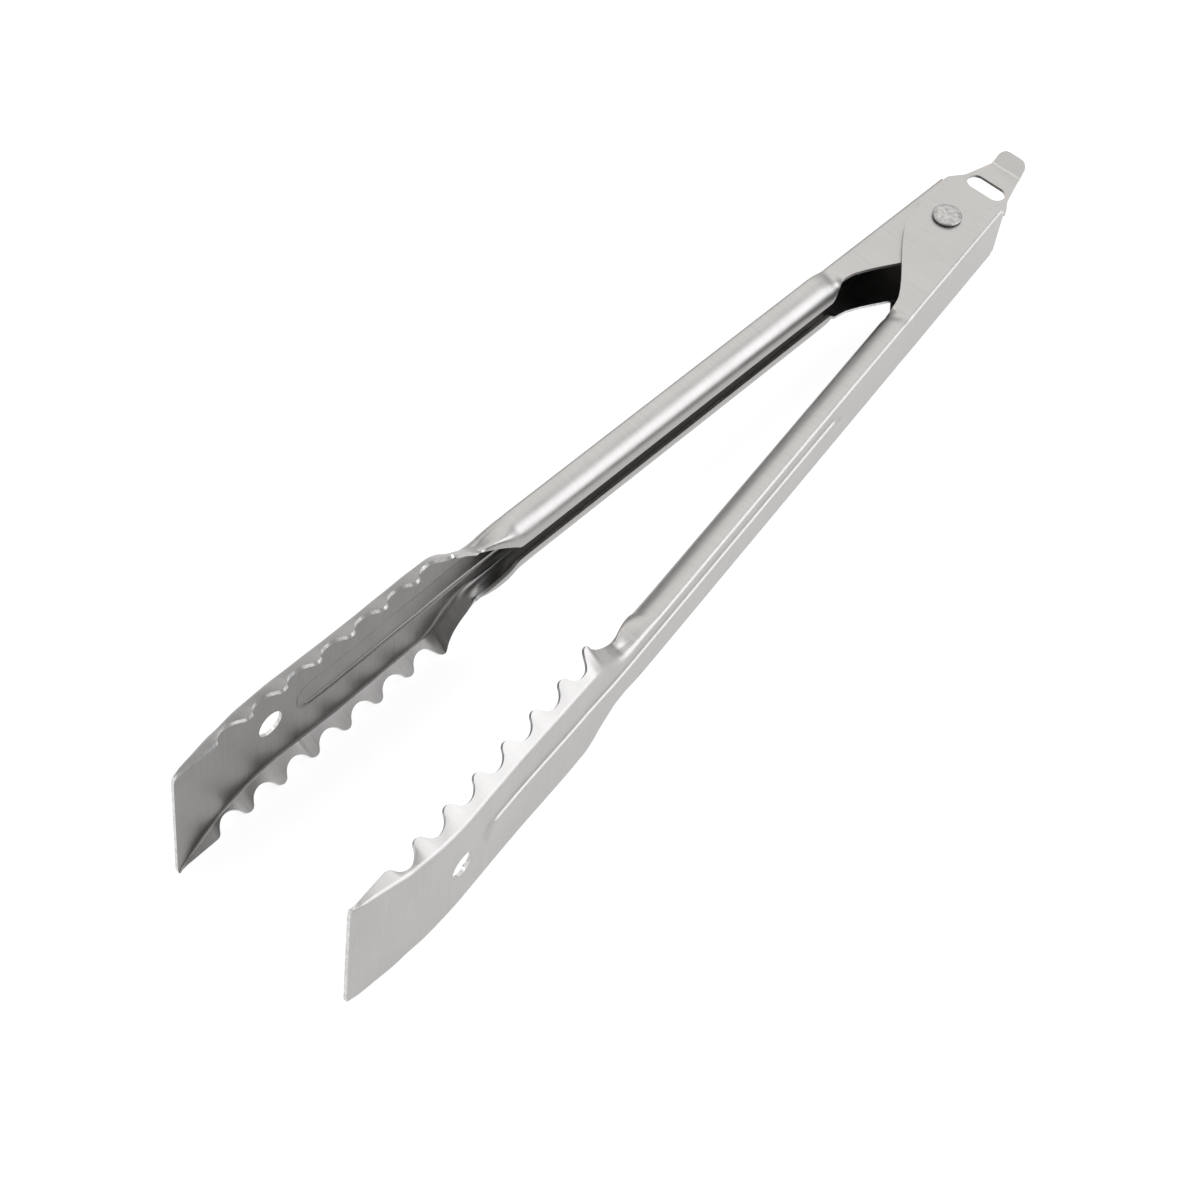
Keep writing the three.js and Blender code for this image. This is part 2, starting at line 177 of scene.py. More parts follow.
class NodeSheet:
    """A material's node tree, with one method that adds any node."""

    def __init__(self, name: str) -> None:
        """Start a material with a shader and an output.

        Args:
            name: The material's name.
        """
        self.material = bpy.data.materials.new(name)
        self.material.use_nodes = True
        self.tree = self.material.node_tree
        self.tree.nodes.clear()
        self.shader = self.node("ShaderNodeBsdfPrincipled")
        self.node("ShaderNodeOutputMaterial", inputs={"Surface": self.shader.outputs[0]})

    def node(
        self,
        kind: str,
        settings: Optional[dict[str, Any]] = None,
        inputs: Optional[dict[Union[str, int], Any]] = None,
    ) -> bpy.types.Node:
        """Add a node.

        Args:
            kind: The node's type.
            settings: Its properties, set first.
            inputs: The values or links of its sockets, by name or number.

        Returns:
            The new node.
        """
        made = self.tree.nodes.new(kind)
        for key, value in (settings or {}).items():
            setattr(made, key, value)
        for key, value in (inputs or {}).items():
            self.feed(made.inputs[key], value)
        return made

    def feed(self, socket: bpy.types.NodeSocket, value: Any) -> None:
        """Link or set one socket.

        Args:
            socket: The input socket.
            value: A Value, an output socket or a plain value.
        """
        if isinstance(value, Value):
            value = value.socket
        if isinstance(value, bpy.types.NodeSocket):
            self.tree.links.new(value, socket)
        else:
            socket.default_value = value

    def dressed(self, inputs: dict[str, Any]) -> bpy.types.Material:
        """Feed the shader.

        Args:
            inputs: The values or links of the shader's sockets, by name.

        Returns:
            The finished material.
        """
        for name, value in inputs.items():
            self.feed(self.shader.inputs[name], value)
        return self.material

    def along_grain(self, across: float, along: float) -> bpy.types.NodeSocket:
        """Return sheet coordinates scaled to the brushing.

        Args:
            across: Streaks per millimetre, counted across the grain.
            along: Streaks per millimetre, counted along the grain.

        Returns:
            A vector socket.
        """
        place = self.node("ShaderNodeTexCoord")
        inputs = {"Vector": place.outputs["UV"], "Scale": (across, along, 1.0)}
        return self.node("ShaderNodeMapping", inputs=inputs).outputs["Vector"]

    def noise(self, vector: Optional[bpy.types.NodeSocket], scale: float, detail: float) -> Value:
        """Add a noise texture.

        Args:
            vector: Where the noise is read; object coordinates if there is none.
            scale: Its scale.
            detail: Its layers of finer noise.

        Returns:
            The noise, which lies around 0.5.
        """
        if vector is None:
            vector = self.node("ShaderNodeTexCoord").outputs["Object"]
        inputs = {"Vector": vector, "Scale": scale, "Detail": detail, "Roughness": 0.6}
        return Value(self, self.node("ShaderNodeTexNoise", inputs=inputs).outputs["Fac"])

    def mixed(self, share: Value, low: Sequence[float], high: Sequence[float]) -> bpy.types.NodeSocket:
        """Mix two colours.

        Args:
            share: How much of the second colour there is.
            low: The first colour.
            high: The second colour.

        Returns:
            A colour socket.
        """
        inputs = {"Factor": share, 6: (*low, 1.0), 7: (*high, 1.0)}
        return self.node("ShaderNodeMix", {"data_type": "RGBA"}, inputs).outputs[2]

    def bump(self, height: Value, distance: float, strength: float) -> bpy.types.NodeSocket:
        """Bump the surface's normal.

        Args:
            height: The height, from 0 to 1.
            distance: What a height of 1 stands for, in metres.
            strength: How strongly the bump shows.

        Returns:
            A normal socket.
        """
        inputs = {"Height": height, "Distance": distance, "Strength": strength}
        return self.node("ShaderNodeBump", inputs=inputs).outputs["Normal"]


# Finishes ---

# Colours of the arms' inner faces: a darker copy of the brushed sheet, painted shade for the inside of
# the channels.
INSIDE_PAINTED_SHADE_DARK = (0.17, 0.165, 0.16)
INSIDE_PAINTED_SHADE_LIGHT = (0.29, 0.282, 0.275)


@dataclass(frozen=True)
class BrushedSheet:
    """Stainless sheet brushed across its length, with soft stains and a few handling scratches."""

    name: str
    dark: tuple[float, float, float] = (0.37, 0.36, 0.351)
    light: tuple[float, float, float] = (0.49, 0.481, 0.471)
    roughness: float = 0.4
    grain: float = 0.11
    stains: float = 0.2

    def material(self) -> bpy.types.Material:
        """Make the finish.

        Returns:
            Its node material.
        """
        sheet = NodeSheet(self.name)
        fine = sheet.noise(sheet.along_grain(4.2, 0.06), 1.0, 3.0)
        broad = sheet.noise(sheet.along_grain(0.7, 0.03), 1.0, 2.0)
        cloud = sheet.noise(None, 62.0, 4.0)
        smear = sheet.noise(sheet.along_grain(0.1, 0.22), 1.0, 4.0)
        scratch = sheet.noise(sheet.along_grain(0.35, 3.2), 1.0, 5.0).stepped(0.69, 0.74)
        tone = (fine * 0.35 + broad * 0.1 + cloud * 0.35 + smear * 0.2 + scratch * 0.12).clipped()
        rough = (fine - 0.5) * self.grain + (cloud - 0.5) * self.stains + (smear - 0.5) * self.stains
        height = fine * 0.75 + broad * 0.15 - scratch * 0.5
        return sheet.dressed({
            "Base Color": sheet.mixed(tone.stepped(0.25, 0.75), self.dark, self.light),
            "Roughness": rough + scratch * 0.12 + self.roughness,
            "Normal": sheet.bump(height, 0.000012, 0.3),
            "Metallic": 1.0,
        })


@dataclass(frozen=True)
class ShearedEdge:
    """The raw cut edge of the sheet: half burnished by the punch, half torn."""

    name: str
    dark: tuple[float, float, float] = (0.5, 0.495, 0.49)
    light: tuple[float, float, float] = (0.72, 0.715, 0.71)

    def material(self) -> bpy.types.Material:
        """Make the finish.

        Returns:
            Its node material.
        """
        sheet = NodeSheet(self.name)
        torn = sheet.noise(None, 2200.0, 3.0)
        patch = sheet.noise(None, 500.0, 2.0)
        share = (torn * 0.5 + patch * 0.5).stepped(0.3, 0.7)
        return sheet.dressed({
            "Base Color": sheet.mixed(share, self.dark, self.light),
            "Roughness": 0.5 - share * 0.2,
            "Normal": sheet.bump(torn, 0.00003, 0.3),
            "Metallic": 1.0,
        })


@dataclass(frozen=True)
class PeenedSteel:
    """A rivet head left dimpled and slightly dull by the peening tool."""

    name: str
    dark: tuple[float, float, float] = (0.31, 0.304, 0.298)
    light: tuple[float, float, float] = (0.5, 0.492, 0.483)

    def material(self) -> bpy.types.Material:
        """Make the finish.

        Returns:
            Its node material.
        """
        sheet = NodeSheet(self.name)
        dents = sheet.noise(None, 760.0, 3.0)
        grit = sheet.noise(None, 2600.0, 4.0)
        share = (dents * 0.7 + grit * 0.3).stepped(0.35, 0.65)
        return sheet.dressed({
            "Base Color": sheet.mixed(share, self.dark, self.light),
            "Roughness": grit * 0.25 + 0.28,
            "Normal": sheet.bump(dents * 0.6 + grit * 0.4, 0.00016, 0.6),
            "Metallic": 1.0,
        })


@dataclass(frozen=True)
class DrawnWire:
    """Spring wire with fine die lines along it."""

    name: str
    dark: tuple[float, float, float] = (0.27, 0.27, 0.28)
    light: tuple[float, float, float] = (0.5, 0.5, 0.51)

    def material(self) -> bpy.types.Material:
        """Make the finish.

        Returns:
            Its node material.
        """
        sheet = NodeSheet(self.name)
        lines = sheet.noise(sheet.along_grain(0.05, 6.0), 1.0, 2.0)
        cloud = sheet.noise(None, 160.0, 2.0)
        share = (lines * 0.6 + cloud * 0.4).stepped(0.3, 0.7)
        return sheet.dressed({
            "Base Color": sheet.mixed(share, self.dark, self.light),
            "Roughness": lines * 0.15 + 0.25,
            # The inner faces get the darker copy of the sheet: painted shade inside the channels.
            "Normal": sheet.bump(lines, 0.00002, 0.3),
            "Metallic": 1.0,
        })


@dataclass(frozen=True)
class PaleTable:
    """The plain pale table top under the tongs."""

    name: str
    tone: float = 0.3
    glow: float = 0.82

    def material(self) -> bpy.types.Material:
        """Make the finish.

        Returns:
            Its node material.
        """
        sheet = NodeSheet(self.name)
        cloud = sheet.noise(None, 3.0, 2.0)
        return sheet.dressed({
            "Base Color": sheet.mixed(cloud, (self.tone - 0.01,) * 3, (self.tone,) * 3),
            "Roughness": 0.9,
            "Specular IOR Level": 0.1,
            "Emission Color": (1.0, 1.0, 1.0, 1.0),
            "Emission Strength": self.glow,
        })


# Curves and meshes ---


def smooth(low: float, high: float, value: Any) -> Any:
    """Rise smoothly from 0 at low to 1 at high.

    Args:
        low: The value that gives 0.
        high: The value that gives 1.
        value: A number or an array.

    Returns:
        The smoothed step, of the same kind as value.
    """
    t = np.clip((np.asarray(value, float) - low) / (high - low), 0.0, 1.0)
    return t * t * (3.0 - 2.0 * t)


def mix(low: Any, high: Any, share: Any) -> Any:
    """Return the value a share of the way from low to high."""
    return low + (high - low) * share


def eased(knots: Sequence[float], values: Sequence[float], at: Any) -> Any:
    """Interpolate between knots without overshoot.

    Args:
        knots: Rising positions.
        values: The value at each knot.
        at: Where to read the curve.

    Returns:
        The values of a monotone cubic through the knots.
    """
    x = np.asarray(knots, float)
    y = np.asarray(values, float)
    step = np.diff(x)
    slope = np.diff(y) / step
    tangent = np.zeros_like(y)
    same = slope[1:] * slope[:-1] > 0
    weight_a = 2 * step[1:] + step[:-1]
    weight_b = step[1:] + 2 * step[:-1]
    safe = np.where(same, slope[:-1], 1.0), np.where(same, slope[1:], 1.0)
    mean = (weight_a + weight_b) / (weight_a / safe[0] + weight_b / safe[1])
    tangent[1:-1] = np.where(same, mean, 0.0)
    tangent[0], tangent[-1] = slope[0], slope[-1]
    p = np.clip(np.asarray(at, float), x[0], x[-1])
    i = np.clip(np.searchsorted(x, p, side="right") - 1, 0, len(step) - 1)
    t = (p - x[i]) / step[i]
    a = (1 + 2 * t) * (1 - t) ** 2 * y[i] + t * (1 - t) ** 2 * step[i] * tangent[i]
    b = t * t * (3 - 2 * t) * y[i + 1] + t * t * (t - 1) * step[i] * tangent[i + 1]
    return a + b


@dataclass
class Grid:
    """A closed tube made of rings of points, with sheet coordinates."""

    name: str
    rows: Points
    uv: Points

    def mesh(self) -> bpy.types.Mesh:
        """Join the rings.

        Returns:
            A closed mesh with flat ends.
        """
        count, width, _ = self.rows.shape
        made = bpy.data.meshes.new(self.name)
        faces = []
        for i in range(count - 1):
            for j in range(width):
                k = (j + 1) % width
                faces.append((i * width + j, i * width + k, (i + 1) * width + k, (i + 1) * width + j))
        faces.append(tuple(range(width))[::-1])
        faces.append(tuple((count - 1) * width + j for j in range(width)))
        made.from_pydata(self.rows.reshape(-1, 3).tolist(), [], faces)
        write_uv(made, self.uv.reshape(-1, 2))
        return made


def write_uv(mesh: bpy.types.Mesh, per_vertex: Points) -> None:
    """Store sheet coordinates, in millimetres along and across the sheet.

    Args:
        mesh: The mesh to write to.
        per_vertex: Two numbers for each vertex.
    """
    layer = mesh.uv_layers.new(name="Sheet")
    corner = np.zeros(len(mesh.loops), np.int32)
    mesh.loops.foreach_get("vertex_index", corner)
    layer.data.foreach_set("uv", per_vertex[corner].astype(np.float32).ravel())


def place(points: Points) -> Points:
    """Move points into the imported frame.

    Args:
        points: Places in millimetres from the rivet's middle.

    Returns:
        The same places in metres.
    """
    low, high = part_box("pivot_rivet")
    return np.asarray(points, float) * MM + np.array((low + high) / 2)


def show(name: str, mesh: bpy.types.Mesh, materials: Sequence[bpy.types.Material]) -> bpy.types.Object:
    """Make an object of a mesh.

    Args:
        name: The object's name.
        mesh: Its mesh.
        materials: Its materials, in slot order.

    Returns:
        The new object, with its faces turned outwards and shaded smooth.
    """
    for material in materials:
        mesh.materials.append(material)
    work = bmesh.new()
    work.from_mesh(mesh)
    bmesh.ops.recalc_face_normals(work, faces=work.faces)
    work.to_mesh(mesh)
    work.free()
    mesh.polygons.foreach_set("use_smooth", np.ones(len(mesh.polygons), bool))
    thing = bpy.data.objects.new(name, mesh)
    bpy.context.scene.collection.objects.link(thing)
    return thing


def soften_edges(thing: bpy.types.Object, width: float, angle: float = 40.0, segments: int = 2) -> None:
    """Round an object's sharp edges a little and keep its flat faces flat.

    Args:
        thing: The object.
        width: The bevel's width in millimetres.
        angle: Edges sharper than this, in degrees, are rounded.
        segments: Faces across each bevel.
    """
    bevel = thing.modifiers.new("Rounded edges", "BEVEL")
    bevel.width = width * MM
    bevel.segments = segments
    bevel.limit_method = "ANGLE"
    bevel.angle_limit = math.radians(angle)
    bevel.harden_normals = True
    bevel.use_clamp_overlap = True


# Arms ---


@dataclass(frozen=True)
class Station:
    """One pressed section where the handle narrows into the jaw."""

    at: float
    web: float
    corner: float
    edge_in: float
    edge_up: float
    roll: float


NECK = (
    Station(158.0, 0.0, 8.92, 7.3, 2.5, 1.0),
    Station(161.0, 0.0, 8.95, 7.3, 2.6, 1.0),
    Station(164.0, 0.0, 9.1, 7.1, 4.6, 0.97),
    Station(167.0, 0.0, 9.15, 6.6, 6.4, 0.88),
    Station(170.0, 0.0, 9.05, 6.0, 7.9, 0.66),
    Station(172.5, 0.0, 8.85, 5.5, 8.9, 0.36),
    Station(174.5, 0.0, 8.75, 5.15, 9.9, 0.14),
    Station(176.5, 0.02, 8.85, 4.85, 11.4, 0.03),
    Station(179.0, 0.05, 9.75, 4.65, 13.3, 0.0),
    Station(181.6, 0.1, 11.3, 4.9, 15.2, 0.0),
    Station(184.0, 0.2, 13.1, 5.5, 17.4, 0.0),
    Station(186.0, 0.25, 14.5, 6.15, 18.9, 0.0),
    Station(188.0, 0.32, 15.4, 5.7, 19.0, 0.0),
    Station(190.0, 0.4, 15.7, 5.26, 19.02, 0.0),
)


@dataclass
class Arm:
    """One arm of the tongs: cheeks, rolled handle, neck and scalloped jaw in one pressing."""

    side: Side
    body: Body
    cheek_half_height: float
    sheet: float = 0.9
    web_offset: float = 11.07
    open_degrees: float = 4.535
    handle_half_height: float = 8.92
    crease_radius: float = 1.1
    neck_crease_radius: float = 4.2
    jaw_crease_radius: float = 1.7
    web_rear: float = 13.1
    handle_start: float = 46.0
    handle_end: float = 158.0
    curl_start: float = 236.0
    curl_radius: float = 113.0
    tooth_start: float = 183.4
    jaw_start: float = 190.0
    tip: float = 273.16
    tip_corner: float = 1.7
    tip_half_width: float = 19.75
    free_edge: tuple[float, float] = (7.3, 2.5)
    roll_handles: tuple[tuple[float, float], tuple[float, float]] = ((5.5, 0.0), (0.55, 3.9))
    rib: tuple[float, float] = (79.0, 226.0)
    rib_height: float = 0.6
    rib_flank: tuple[float, float] = (3.85, 4.7)
    first_peak: tuple[float, float, float] = (196.34, 5.43, 19.08)
    last_peak: tuple[float, float, float] = (260.74, 7.2, 19.64)
    tooth_lean: tuple[float, float] = (0.815, 0.58)
    tooth_pitch: float = 10.73
    first_tooth: float = 260.74
    valleys: int = 7
    tooth_radius: float = 1.85
    tooth_depth: float = 3.4
    nose_shape: tuple[float, float, float, float] = (174.2, 0.45, 3.0, 1.5)
    drain_at: float = 239.0
    drain_radius: float = 3.6
    drain_rings: tuple[tuple[int, int], tuple[int, int]] = ((9, 5), (17, 14))
    relief: tuple[float, float, float] = (-11.9, 2.1, 1.75)
    flange_steps: int = 21
    crease_steps: int = 8
    web_steps: int = 9

    def distances(self) -> Points:
        """Set out the sections, closer together where the outline is busy.

        Returns:
            Their distances from the rivet.
        """
        runs = (
            (-14.6, -8.0, 0.35), (-8.0, 36.0, 1.0), (36.0, 48.0, 0.4), (48.0, 76.0, 3.0),
            (76.0, 88.0, 0.6), (88.0, 154.0, 3.0), (154.0, 185.0, 0.5), (185.0, self.tip - 3.2, 0.4),
        )
        last = np.linspace(self.tip - 3.0, self.tip, 12)
        return np.concatenate([*(np.arange(*run) for run in runs), last])

    def peak_line(self, at: Points) -> tuple[Points, Points]:
        """Follow the line through the teeth's peaks.

        Args:
            at: Distances from the rivet.

        Returns:
            How far in and how far up the line lies.
        """
        start, first_in, first_up = self.first_peak
        end, last_in, last_up = self.last_peak
        share = (at - start) / (end - start)
        return mix(first_in, last_in, share), mix(first_up, last_up, share)

    def cheek_edge(self, at: Points) -> Points:
        """Follow the cheek's free edge: the rounded ear round the rivet, then the long diagonal.

        Args:
            at: Distances from the rivet.

        Returns:
            How far in the edge lies.
        """
        outline = (
            (-14.6, 13.2), (-14.1, 13.5), (-13.2, 14.3), (-10.4, 17.0), (-8.0, 18.4), (-4.7, 19.5),
            (-1.0, 19.9), (1.2, 19.1), (7.2, 19.0), (9.4, 18.5), (15.2, 16.1), (22.1, 12.5),
            (31.7, 7.7), (34.8, 6.6), (38.3, 6.2), (42.0, 6.5),
        )
        return eased([p[0] for p in outline], [p[1] for p in outline], at)

    def scallop(self, at: Points) -> Points:
        """Follow the toothed edge.

        Args:
            at: Distances from the rivet.

        Returns:
            Its height above the line through the peaks.
        """
        half = self.tooth_pitch / 2
        drop = self.tooth_depth - self.tooth_radius
        valley = (half**2 + drop**2 - self.tooth_radius**2) / (2 * (self.tooth_radius + drop))
        reach = half * valley / (valley + self.tooth_radius)
        start = self.first_tooth - self.valleys * self.tooth_pitch
        along = np.mod(at - start, self.tooth_pitch) - half
        floor = valley - self.tooth_depth - np.sqrt(np.maximum(valley**2 - along**2, 0.0))
        crown = half - np.abs(along)
        top = np.sqrt(np.maximum(self.tooth_radius**2 - crown**2, 0.0)) - self.tooth_radius
        height = np.where(np.abs(along) < reach, floor, top)
        neck_tooth = (
            (183.0, -0.6), (184.0, 0.5), (185.3, 1.0), (186.1, 0.88), (186.9, 0.2),
            (187.6, -0.9), (188.6, -2.4), (189.6, -3.15), (191.0, -3.4),
        )
        crown_and_flank = eased([p[0] for p in neck_tooth], [p[1] for p in neck_tooth], at)
        height = np.where(at < start + half, crown_and_flank, height)
        return np.where(at > self.first_tooth, 0.0, height)

    def profile(self) -> dict[str, Points]:
        """Work out the values that shape the sections.

        Returns:
            A row for each value, from the hinge to the tip.
        """
        at = self.distances()
        pressed = {
            key: eased([s.at for s in NECK], [getattr(s, key) for s in NECK], at)
            for key in ("web", "corner", "edge_in", "edge_up", "roll")
        }
        start = smooth(38.0, self.handle_start, at)
        curl_in = smooth(37.3, 42.5, at)
        curl = np.maximum(0.0, at - self.curl_start)
        toward_tip = curl / (self.tip - self.curl_start)
        peak_in, peak_up = self.peak_line(at)
        corner = mix(self.cheek_half_height, self.handle_half_height, start)
        edge_in = mix(self.cheek_edge(at), self.free_edge[0], curl_in)
        edge_up = mix(self.cheek_half_height, self.free_edge[1], curl_in)
        neck = at > self.handle_end
        tooth = at > self.tooth_start
        jaw = at > self.jaw_start
        corner = np.where(neck, pressed["corner"], corner)
        edge_in = np.where(neck, pressed["edge_in"], edge_in)
        edge_up = np.where(neck, pressed["edge_up"], edge_up)
        height = self.scallop(at)
        grow = smooth(self.tooth_start, self.tooth_start + 2.0, at)
        edge_in = np.where(tooth, mix(edge_in, peak_in + self.tooth_lean[0] * height, grow), edge_in)
        edge_up = np.where(tooth, mix(edge_up, peak_up + self.tooth_lean[1] * height, grow), edge_up)
        web = np.where(neck, pressed["web"], 0.0)
        flat_web = mix(0.4, 1.0, smooth(self.jaw_start, self.jaw_start + 32.0, at))
        web = np.where(jaw, flat_web + curl**2 / (2 * self.curl_radius), web)
        splay = 15.7 + 0.2 * smooth(self.jaw_start, self.jaw_start + 6.0, at) + 3.85 * toward_tip**1.6
        radii = (self.crease_radius, 2.2, *[self.neck_crease_radius] * 2, self.jaw_crease_radius)
        return {
            "at": at,
            "web": web,
            "corner": np.where(jaw, np.minimum(splay, peak_up - 0.5), corner),
            "edge_in": edge_in,
            "edge_up": edge_up,
            "full_in": np.where(jaw, peak_in, edge_in),
            "full_up": np.where(jaw, peak_up, edge_up),
            "roll": np.where(neck, pressed["roll"], curl_in),
            "radius": eased((160.0, 172.0, 176.0, 182.0, 189.0), radii, at),
        }

    def nose(self, at: float, share: Points) -> Points:
        """Return how far the rounded nose at the handle's end stands above the neck.

        Args:
            at: The section's distance.
            share: Places across the flange, from the crease to the free edge.

        Returns:
            The rise at each place.
        """
        depth, height, reach, softness = self.nose_shape
        across = (share - 0.45) / 0.5
        end = depth - reach * across**2
        rise = smooth(depth - 22.0, depth - 5.0, at) * (1.0 - smooth(end - softness, end + softness, at))
        return height * rise * np.clip(1.0 - np.abs(across) ** 3, 0.0, 1.0)

    def half_section(self, values: dict[str, float]) -> Points:
        """Draw half of one section.

        Args:
            values: The section's values from the profile.

        Returns:
            Places from the web's middle to the free edge, as in and up.
        """
        corner = np.array([values["web"], values["corner"]])
        edge = np.array([values["edge_in"], values["edge_up"]])
        full = np.array([values["full_in"], values["full_up"]])
        roll = values["roll"]
        near_handle, far_handle = corner + self.roll_handles[0], edge + self.roll_handles[1]
        near = mix(mix(corner, edge, 1 / 3), near_handle, roll)
        along = (near - corner) / max(float(np.hypot(*(near - corner))), 1e-9)
        turn = max(math.acos(float(np.clip(along[1], -1.0, 1.0))), 0.05)
        reach = min(values["radius"] * math.tan(turn / 2), float(np.hypot(*(full - corner))) * 0.4)
        radius = reach / math.tan(turn / 2)
        first = corner + along * reach
        near = mix(mix(first, edge, 1 / 3), near_handle, roll)
        far = mix(mix(first, edge, 2 / 3), far_handle, roll)
        web_up = np.concatenate([
            np.linspace(0.0, 3.6, 6)[:-1],
            np.linspace(3.6, 4.9, 9)[:-1],
            np.linspace(4.9, corner[1] - reach, self.web_steps + 1)[:-1],
        ])
        beyond = max(self.rib[0] - values["at"], values["at"] - self.rib[1], 0.0)
        rise = self.rib_height * (1.0 - smooth(*self.rib_flank, np.hypot(beyond, web_up)))
        web = np.column_stack([values["web"] - rise, web_up])
        angle = np.linspace(0.0, turn, self.crease_steps + 1)
        crease = np.column_stack([
            values["web"] + radius * (1.0 - np.cos(angle)),
            corner[1] - reach + radius * np.sin(angle),
        ])
        t = np.linspace(0.0, 1.0, self.flange_steps + 1)[1:, None]
        flange = (1 - t) ** 3 * first + 3 * t * (1 - t) ** 2 * near
        flange = flange + 3 * t * t * (1 - t) * far + t**3 * edge
        flange[:, 1] += self.nose(values["at"], t[:, 0])
        return np.vstack([web, crease, flange])

    def skins(self) -> tuple[Points, Points]:
        """Sweep the sections along the arm.

        Returns:
            The outer and inner skins, as distance, in and up, and their sheet coordinates.
        """
        profile = self.profile()
        rows, across = [], []
        for i in range(len(profile["at"])):
            half = self.half_section({key: float(value[i]) for key, value in profile.items()})
            whole = np.vstack([(half * (1, -1))[:0:-1], half])
            run = np.hypot(*np.diff(whole, axis=0).T)
            middle = len(whole) // 2
            length = np.concatenate([[0.0], np.cumsum(run)])
            rows.append(np.column_stack([np.full(len(whole), profile["at"][i]), whole]))
            across.append(length - length[middle])
        outer = np.array(rows)
        delta = np.gradient(outer[:, :, 1:], axis=1)
        lead = np.gradient(outer[:, :, 1], axis=0) / np.gradient(outer[:, :, 0], axis=0)
        length = np.maximum(np.hypot(delta[..., 0], delta[..., 1]), 1e-9)
        stretch = 1.0 / np.sqrt(1.0 + np.clip(lead, -0.45, 0.45)[:, outer.shape[1] // 2] ** 2)
        inner = outer.copy()
        inner[..., 1] += self.sheet * stretch[:, None] * delta[..., 1] / length
        inner[..., 2] -= self.sheet * stretch[:, None] * delta[..., 0] / length
        uv = np.dstack([outer[..., 0], np.array(across)])
        return np.stack([outer, inner]), uv

    def trim_ends(self, skins: Points) -> Points:
        """Follow the shears at both ends: the square heel, its sloping cheeks and the tip's corners.

        Args:
            skins: Both skins, as distance, in and up.

        Returns:
            The skins with their end rows drawn onto the cuts.
        """
        at, inward, up = skins[..., 0], skins[..., 1], skins[..., 2]
        heel = -self.web_rear - np.clip(inward - 1.5, 0.0, 12.0) / 12.0
        at = np.where(at < -10.0, mix(-10.0, heel, (at + 10.0) / -4.6), at)
        bend = self.tip_corner
        beyond = np.clip(np.abs(up) - (self.tip_half_width - bend), 0.0, bend)
        pull = bend - np.sqrt(bend**2 - beyond**2)
        near_tip = np.clip((at - (self.tip - 3.0)) / 3.0, 0.0, 1.0)
        at = at - pull * near_tip
        return np.stack([at, inward, up], axis=-1)

    def in_place(self, local: Points) -> Points:
        """Turn the arm to its open place.

        Args:
            local: Places as distance, in and up.

        Returns:
            Places in the frame, in metres.
        """
        x, y, z = -local[..., 0], local[..., 1] - self.web_offset, local[..., 2]
        angle = math.radians(self.open_degrees)
        turned_x = x * math.cos(angle) - y * math.sin(angle)
        turned_y = x * math.sin(angle) + y * math.cos(angle)
        return place(np.stack([turned_x, turned_y * self.side.value, z], axis=-1))

    def pierce(self, skins: Points) -> tuple[Points, Points]:
        """Open the drain hole and the relief notches at the heel's corners.

        Args:
            skins: Both skins, as distance, in and up.

        Returns:
            The skins with the sections round the drain hole drawn onto its circle, and which faces of
            the grid are kept.
        """
        (inner_rows, inner_columns), (outer_rows, outer_columns) = self.drain_rings
        _, count, width, _ = skins.shape
        row = int(np.argmin(np.abs(skins[0, :, width // 2, 0] - self.drain_at)))
        rows = np.arange(count)[:, None] - row
        columns = np.arange(width)[None, :] - width // 2
        past_rows = (np.abs(rows) - inner_rows) / (outer_rows - inner_rows)
        past_columns = (np.abs(columns) - inner_columns) / (outer_columns - inner_columns)
        share = np.clip(np.maximum(past_rows, past_columns), 0.0, 1.0)
        along = skins[0, ..., 0] - self.drain_at
        across = skins[0, ..., 2]
        length = np.maximum(np.hypot(along, across), 1e-9)
        shift_along = (self.drain_radius * along / length - along) * (1.0 - share)
        shift_across = (self.drain_radius * across / length - across) * (1.0 - share)
        web = skins[0, :, width // 2, 1]
        at = skins[0, :, width // 2, 0]
        lift = np.interp(skins[0, ..., 0] + shift_along, at, web) - np.interp(skins[0, ..., 0], at, web)
        moved = skins + np.stack([shift_along, lift, shift_across], axis=-1)
        open_face = np.abs(rows[:-1] + 0.5) < inner_rows
        open_face = open_face & (np.abs(columns[:, :-1] + 0.5) < inner_columns)
        centre = (skins[0, :-1, :-1] + skins[0, 1:, 1:]) / 2
        end, depth, side = self.relief
        notch = (centre[..., 0] < end) & (centre[..., 1] < depth)
        notch &= np.abs(centre[..., 2]) > self.cheek_half_height - side
        return moved, ~(open_face | notch)

    def blank(self) -> bpy.types.Mesh:
        """Close the two skins along their cut edges.

        Returns:
            The pressing, with its cut edges as a second material and its inside as a third.
        """
        skins, uv = self.skins()
        skins, kept = self.pierce(self.trim_ends(skins))
        points = self.in_place(skins)
        _, count, width, _ = points.shape
        layer = count * width
        outer = [
            (i * width + j, i * width + j + 1, (i + 1) * width + j + 1, (i + 1) * width + j)
            for i, j in zip(*np.nonzero(kept))
        ]
        edges = {(face[k], face[(k + 1) % 4]) for face in outer for k in range(4)}
        rim = [(b, a, a + layer, b + layer) for a, b in edges if (b, a) not in edges]
        inner = [tuple(v + layer for v in reversed(face)) for face in outer]
        faces = np.array(outer + inner + sorted(rim), np.int64)
        used, compact = np.unique(faces, return_inverse=True)
        mesh = bpy.data.meshes.new(self.body.value)
        mesh.from_pydata(points.reshape(-1, 3)[used].tolist(), [], compact.reshape(-1, 4).tolist())
        marks = np.zeros(len(faces), np.int32)
        # Inner faces take the third material, darkened as painted shade.
        marks[len(outer) : 2 * len(outer)] = 2
        marks[2 * len(outer) :] = 1
        mesh.polygons.foreach_set("material_index", marks)
        write_uv(mesh, np.vstack([uv.reshape(-1, 2)] * 2)[used])
        return mesh

